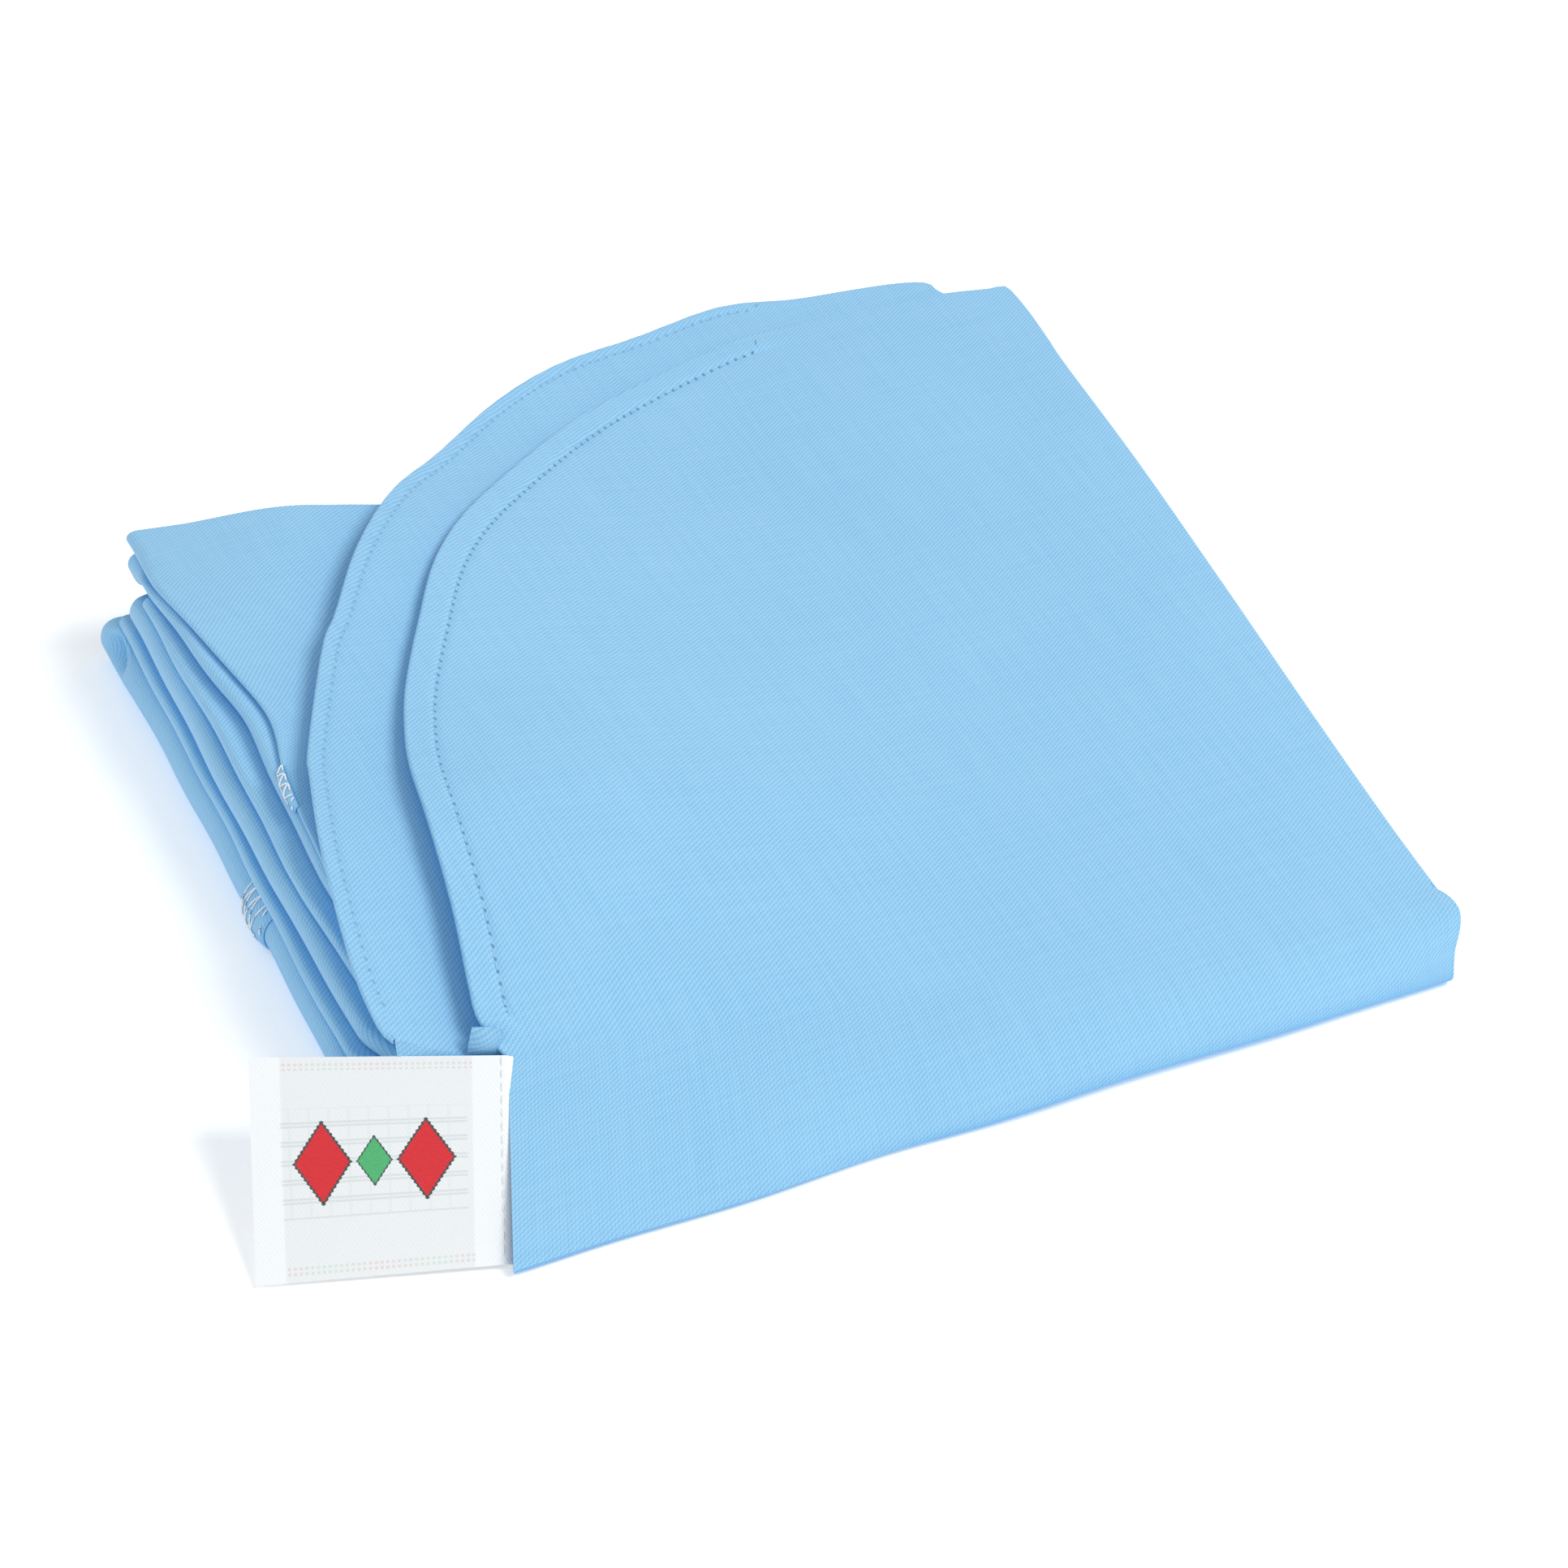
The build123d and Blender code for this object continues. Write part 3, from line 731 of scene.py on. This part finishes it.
def back_panel(name, outline, free_until, surface, roll, hem, inset, places, sections, material, columns=300,
               rows=92, nested=0.0):
    """One back panel as a single cloth. Columns run from the hem's inner edge under the panel, round the
    rolled edge, over the top to the near line, and down round the near edge to the floor.
    outline goes from the near left corner round the free edge to the near right corner."""
    line, length = along_curve(outline, columns)
    tangent = np.gradient(line, axis=0)
    tangent /= np.linalg.norm(tangent, axis=1, keepdims=True)
    out = np.stack([-tangent[:, 1], tangent[:, 0]], -1)
    u = np.linspace(0, 1, columns) ** 1.25
    floor_line, reach, drop = near_edge(u, places, sections)
    free = 1 - smooth((length - free_until) / 12.0)
    # under the hem, from its inner edge out to the panel's edge
    q = np.linspace(1, 0, 7)[:, None, None]
    under = line[None] - out[None] * (hem * 0.95) * q
    # round the roll
    phi = np.linspace(math.pi, 0, 9)[1:-1, None, None]
    bend = line[None] + out[None] * roll * np.sin(phi)
    # over the top, close rows by the edge
    w = (np.linspace(0, 1, rows) ** 1.7)[:, None, None]
    over = line[None] + (floor_line - line)[None] * w
    top_d, top_s = edge_field(over, line, length)
    free_at = np.interp(top_s, length, free) * smooth((top_s - 0.5) / 5.0)
    z_over = surface(over[..., 0], over[..., 1], top_d)
    hump = (1 - smooth((top_d - hem + 0.5) / 1.0)) * 0.38 * free_at
    crease = -0.34 * bell(top_d, inset, 0.55) * free_at
    pucker = 0.10 * np.sin(top_s * 2 * np.pi / 5.85 + 1.1 * np.sin(top_s / 9.0))
    pucker = pucker * bell(top_d, inset * 0.55, inset * 0.5) * free_at
    z_over = z_over + hump + crease + pucker
    z_edge = z_over[0]
    z_under_base = surface(under[..., 0], under[..., 1], hem * 0.95 * q[..., 0] + 0 * under[..., 0])
    lift = z_edge - surface(line[:, 0], line[:, 1], 0 * u)
    z_under = z_under_base - 2 * roll + lift[None] * (1 - q[..., 0])
    z_bend = z_edge[None] - roll * (1 - np.cos(phi[..., 0]))
    # down the near edge
    s = np.linspace(0, 1, 46)[1:]
    wavy = 0.30 * waves(floor_line[:, 0], 0 * u, 21, 5, 70, 30, 0.0, 0.2)
    z_near = z_over[-1]
    outermost = np.interp(floor_line[:, 0], (-65, -35, 0, 40, 60, 90),
                          (-96.4, -97.2, -97.7, -99.2, -99.9, -100.1))
    reach = reach * (np.maximum(floor_line[:, 1] - outermost - nested, 4.0) / reach.max(0))[None]
    reach, z_down = reach[1:], drop[1:] + (z_near - drop[0])[None] * (1 - s[:, None]) ** 2
    z_down = np.maximum(z_down, CLOTH / 2 + 0.02)
    slant = 0.386 - 0.3 * (nested > 0) * (1 - smooth(u / 0.12))
    heading = np.stack([-slant * (1 - u) ** 1.5, -np.ones_like(u)], -1)
    reach = reach + wavy[None] * smooth(s[:, None] * 1.6)
    down = floor_line[None] + heading[None] * reach[..., None]
    ear = smooth((u - 0.955) / 0.045)[None] * np.sin(np.pi * np.clip(s / 0.62, 0, 1))[:, None]
    down[..., 0] += 0.9 * ear - 3.0 * smooth((u - 0.92) / 0.08)[None] * smooth((s[:, None] - 0.3) / 0.5)
    z_down = z_down + 0.8 * ear
    xy = np.concatenate([under, bend, over, down])
    z = np.concatenate([z_under, z_bend, z_over, z_down])
    p = np.concatenate([xy, z[..., None]], -1)
    # cloth coordinates: x and y on top; round the near edge y goes on by length
    y_step = np.diff(np.concatenate([over[-1:], down])[..., 1], axis=0)
    z_step = np.diff(np.concatenate([z_over[-1:], z_down]), axis=0)
    run = np.cumsum(np.concatenate([0 * z_down[:1], np.hypot(y_step, z_step)]), 0)[1:]
    flat_xy = xy.copy()
    flat_xy[-len(s):, :, 1] = floor_line[None, :, 1] - run
    flat_xy[-len(s):, :, 0] = floor_line[None, :, 0] + 0 * run
    far = np.full(z_down.shape, 40.0)
    seam_d = np.concatenate([
        hem * q[..., 0] + 30 + 0 * z_under,
        -roll * (1 - np.cos(phi[..., 0])) + 0 * z_bend,
        top_d + 30 * (1 - free_at) + 30 * (1 - smooth((top_s - 2) / 3)),
        far,
    ])
    seam_s = np.concatenate([length[None] + 0 * z_under, length[None] + 0 * z_bend, top_s, 0 * far])
    seam = np.stack([seam_s, seam_d], -1)
    obj = cloth_sheet(name, p[::-1], flat_xy[::-1] * MM, material, second=seam[::-1] * MM)
    return obj, line, length, out


def second_surface(x, y, d):
    """Middle of the second panel: on the folds, with its own rolled edge standing a little."""
    base = crown(x, y) - 1.20 + ripple(x, y)
    left = 1 - smooth((x + 5) / 60)
    return base + left * 1.1 * np.exp(-d / 4.5)


def top_surface(x, y, d):
    """Middle of the top panel: a pillow that stands up along its free left edge, more so towards the label,
    and comes down to the seam at the label."""
    base = crown(x, y) - 0.25 + 0.45 * ripple(x, y)
    left = (1 - smooth((x - 0) / 60)) * smooth((y + 70.5) / 9)
    stand = 1.0 + 1.5 * smooth((10 - y) / 65)
    folds = bell((x + 30) * 0.42 + (y + 62) * 0.91, 0, 5.0) * bell(x, -34, 22) * 0.55
    return base + left * stand * np.exp(-d / 10.0) + folds


def stitch_row(name, line, length, out, inset, surface, start, stop, pitch, body, slot, node):
    """A row of separate stitches: each a short bowed thread that dives into the cloth at both ends."""
    count = int((stop - start) / pitch)
    lines = []
    at = start + pitch * np.arange(count)
    t = np.linspace(0, 1, 7)
    for s0 in at:
        s = s0 + t * pitch * 0.80
        x = np.interp(s, length, line[:, 0] - out[:, 0] * inset)
        y = np.interp(s, length, line[:, 1] - out[:, 1] * inset)
        z = surface(x, y, np.full_like(x, inset)) - 0.10 + CLOTH / 2 + 0.20 * np.sin(np.pi * t) - 0.10
        lines.append(np.stack([x, y, z], -1))
    obj = threads(name, lines, 0.15, BLUE_THREAD, 6)
    return place(obj, body, slot, [node])


def back_panels():
    top, line, length, out = back_panel(
        "right_back_panel_cloth", TOP_OUTLINE, 205.0, top_surface, 0.42, 4.3, 4.2,
        ((0, -55.6, -68.3), (1, 90.0, -88.0)), ((0, SLOPE_OUT), (0.62, BEND_OUT)), TOP_CLOTH)
    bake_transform(top)
    place(top, None, "blue_sheeting", ["right_back_panel", "right_back_hem", "right_back_near_wrap"],
          (0.165, 0.205), "folded")
    stitch_row("right_back_hem_stitch_row", line, length, out, 4.2, top_surface, 4.0, 203.0, 1.95,
               "right_back_flap", "blue_thread", "right_back_hem_stitches")
    second, line, length, out = back_panel(
        "left_back_panel_cloth", SECOND_OUTLINE, 225.0, second_surface, 0.36, 2.1, 1.9,
        ((0, -70.3, -60.6), (0.12, -53.5, -66.6), (1, 88.2, -87.0)),
        ((0, CORNER_OUT), (0.12, shrink(SLOPE_OUT, 1.9)), (0.66, shrink(BEND_OUT, 1.9))), SECOND_CLOTH,
        rows=80, nested=np.interp(np.linspace(0, 1, 300) ** 1.25, (0, 0.12, 1), (24.0, 2.0, 1.9)))
    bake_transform(second)
    place(second, None, "blue_sheeting", ["left_back_panel", "left_back_hem", "left_back_near_wrap"],
          (0.175, 0.215), "folded")
    stitch_row("left_back_hem_stitch_row", line, length, out, 1.9, second_surface, 16.0, 223.0, 1.95,
               "left_back_flap", "blue_thread", "left_back_hem_stitches")


# ---------------------------------------------------------------- label
SEAM_TOP, SEAM_FOOT = np.array([-55.6, -68.2, 14.4]), np.array([-66.4, -94.9, 0.9])
FREE_TOP, FREE_FOOT = np.array([-90.4, -52.8, 14.2]), np.array([-101.0, -83.6, 0.6])


def label():
    """The label as one satin sheet: straight lines from the seam to the free end, a slight swell near the
    seam and a slight bow across it."""
    rows, columns = 70, 80
    v = np.linspace(0, 1, rows)[:, None, None]
    u = np.linspace(-0.06, 1, columns)[None, :, None]
    seam = SEAM_FOOT + (SEAM_TOP - SEAM_FOOT) * v
    free = FREE_FOOT + (FREE_TOP - FREE_FOOT) * v
    p = seam + (free - seam) * u
    side = np.cross(SEAM_TOP - SEAM_FOOT, FREE_FOOT - SEAM_FOOT)
    side /= -np.linalg.norm(side) * np.sign(side[2])
    side = -side if side[2] < 0 else side
    out = np.maximum(u, 0)
    bow = 0.9 * np.sin(np.pi * v) * np.exp(-out * 3.0) + 0.5 * np.sin(np.pi * out) * np.sin(np.pi * v)
    swell = bow - 1.3 * (1 - smooth((u + 0.06) / 0.075))
    p = p + side * swell
    p[..., 2] = np.maximum(p[..., 2], 0.20)
    uv = np.concatenate([u * 37.5 + 0 * v, v * 33.5 + 0 * u], -1) * MM
    obj = cloth_sheet("label_cloth", p[:, ::-1], uv[:, ::-1], LABEL_CLOTH, thick=0.30)
    place(obj, "label_flap", "label_satin", ["label", "label_turned_end"], (0.0375, 0.0335), "hung")
    t = np.linspace(0, 1, 6)
    lines = []
    for k in range(15):
        s = 0.035 + (k + 0.1 + 0.75 * t) / 15.4
        w = s[:, None]
        base = SEAM_FOOT + (SEAM_TOP - SEAM_FOOT) * w
        across = (FREE_FOOT - SEAM_FOOT) / np.linalg.norm(FREE_FOOT - SEAM_FOOT)
        proud = 0.9 * np.sin(np.pi * w) * 0.93 + 0.16 + 0.10 * np.sin(np.pi * t)[:, None]
        lines.append(base + across * 0.9 + side * proud)
    obj = threads("label_stitch_row", lines, 0.12, WHITE_THREAD, 6)
    place(obj, "label_flap", "white_thread", ["label_stitches"])


# ---------------------------------------------------------------- overlocked side seams
NOSES = (0.95, 0.7, 0.8, 0.9, 1.0, 1.2)


def on_nose(k, y, angle, proud):
    """A point on the nose of fold k at an angle up from its outermost line, standing `proud` of the cloth."""
    x_edge = fold_left(k)(y)
    low, high = share_line(k, x_edge + 2, y) + 0.26, share_line(k + 1, x_edge + 2, y) - 0.26
    middle, semi = (low + high) / 2, (high - low) / 2
    wide = NOSES[k] * semi
    return np.stack([x_edge + wide - (wide + proud) * np.cos(angle), y + 0 * angle,
                     middle + (semi + proud) * np.sin(angle)], -1)


def side_seams():
    """Each seam's allowance where it lies over a nose, and its white threads: a chain along the middle,
    slanting legs beside it, and two of the needle's stitches."""
    for node, k, y0, y1, a0, a1, area in (("side_seam_right", 0, -10.4, -19.4, -0.8, 1.25, 0.000085),
                                          ("side_seam_left", 5, -4.5, -14.5, -1.25, 1.45, 0.000032)):
        v, w = np.linspace(0, 1, 26)[:, None], np.linspace(0, 1, 22)[None]

        def spot(v, w, proud):
            y = y0 + (y1 - y0) * v + 0 * w
            swell = (0.85 if k == 0 else 0.5) * np.sin(np.pi * np.clip(v, 0, 1)) ** 0.6
            return on_nose(k, y, a0 + (a1 - a0) * w + 0 * v, proud + swell)

        p = spot(v, w, 0.25)
        uv = np.stack([p[..., 1], (w + 0 * v) * 9.0], -1) * MM
        tab = cloth_sheet(f"{node}_allowance", p, uv, SHEETING, thick=0.26)
        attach(tab, "folded_pack")
        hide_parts(node)
        lines = []
        g = np.random.default_rng(5 + k)
        count = 3
        for n in range(count):
            a, b, c = 0.04 + 0.72 * n / count, 0.04 + 0.72 * (n + 0.5) / count, 0.04 + 0.72 * (n + 1) / count
            legs = (((a, 0.97), (b, 0.35)), ((b, 0.35), (c, 0.97)), ((b, 0.35), (b + 0.03, 0.06)),
                    ((a, 0.97), (b + 0.02, 0.92)))
            for (v0, w0), (v1, w1) in legs:
                t = np.linspace(0, 1, 9)
                sway = 0.02 * np.sin(np.pi * t) * g.uniform(-1, 1)
                lines.append(spot(v0 + (v1 - v0) * t + sway, w0 + (w1 - w0) * t, 0.50))
        t = np.linspace(0, 1, 40)
        lines.append(spot(0.02 + 0.76 * t, 0.34 + 0.05 * np.sin(t * 19), 0.52))
        for v0, w0 in ((0.83, 0.95), (0.93, 0.62)):
            t = np.linspace(0, 1, 7)
            lines.append(spot(v0 + 0.03 * t, w0 - 0.20 * t, 0.46 + 0.12 * np.sin(np.pi * t)))
        net = threads(f"{node}_overlock_threads", lines, 0.135, WHITE_THREAD, 6)
        place(net, "folded_pack", "white_thread", [f"{node}_overlock"])


def corner_tuck():
    """The small dark gusset of cloth turned in between the top panel's corner and the label."""
    v, w = np.linspace(0, 1, 30)[:, None, None], np.linspace(0, 1, 24)[None, :, None]
    top = np.array([-59.2, -63.4, 17.4]) * (1 - w) + np.array([-55.4, -65.6, 17.9]) * w
    foot = np.array([-60.8, -64.6, 12.6]) * (1 - w) + np.array([-56.2, -66.6, 12.6]) * w
    p = top * (1 - v) + foot * v
    p = p + np.array([-0.25, -0.55, 0.3]) * np.sin(np.pi * v) * np.sin(np.pi * (0.1 + 0.8 * w)) * 1.6
    uv = np.concatenate([p[..., :1], p[..., 2:] * 1.3], -1) * MM
    obj = cloth_sheet("corner_gusset", p, uv, SHEETING, thick=0.28)
    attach(obj, "right_back_flap")


# ---------------------------------------------------------------- floor, light and camera
def studio():
    """Plain pale floor, a soft key light from the near right, a wider fill from the left, and the camera."""
    bpy.ops.mesh.primitive_plane_add(size=6.0, location=(0, 0, 0))
    floor = bpy.context.object
    floor.name = "floor"
    material, tree, bsdf, w = new_material("pale_floor")
    bsdf.inputs["Base Color"].default_value = (0.97, 0.97, 0.97, 1)
    bsdf.inputs["Emission Color"].default_value = (1.0, 1.0, 1.0, 1)
    bsdf.inputs["Emission Strength"].default_value = 0.24
    bsdf.inputs["Roughness"].default_value = 0.9
    bsdf.inputs["Specular IOR Level"].default_value = 0.1
    floor.data.materials.append(material)
    world = bpy.data.worlds.new("studio")
    world.use_nodes = True
    world.node_tree.nodes["Background"].inputs[0].default_value = (0.92, 0.97, 1.0, 1)
    world.node_tree.nodes["Background"].inputs[1].default_value = 0.52
    bpy.context.scene.world = world
    lamps = (("key", (0.70, -0.45, 1.05), 0.55, 10.6), ("fill", (-0.90, -0.10, 0.8), 1.3, 3.8))
    for name, place_at, size, power in lamps:
        lamp = bpy.data.lights.new(name, "AREA")
        lamp.size, lamp.energy = size, power
        lamp.color = (1.0, 0.97, 0.93) if name == "key" else (0.93, 0.97, 1.0)
        obj = bpy.data.objects.new(name, lamp)
        obj.location = place_at
        obj.rotation_euler = (-Vector(place_at)).to_track_quat("-Z", "Y").to_euler()
        bpy.context.scene.collection.objects.link(obj)
    azimuth, elevation, distance = math.radians(-24.3), math.radians(41.5), 0.700
    level = math.cos(elevation)
    back = Vector((math.sin(azimuth) * level, -math.cos(azimuth) * level, math.sin(elevation)))
    camera = bpy.data.cameras.new("camera")
    camera.sensor_width, camera.lens = 36.0, 101.09
    camera.clip_start, camera.clip_end = 0.05, 20.0
    eye = bpy.data.objects.new("camera", camera)
    eye.location = Vector((0.009, -0.0235, 0.008)) + back * distance
    eye.rotation_euler = back.to_track_quat("Z", "Y").to_euler()
    bpy.context.scene.collection.objects.link(eye)
    bpy.context.scene.camera = eye
    scene = bpy.context.scene
    scene.view_settings.view_transform = "Standard"
    scene.view_settings.look = "None"


front_folds()
hidden_pieces()
back_panels()
label()
side_seams()
corner_tuck()
studio()
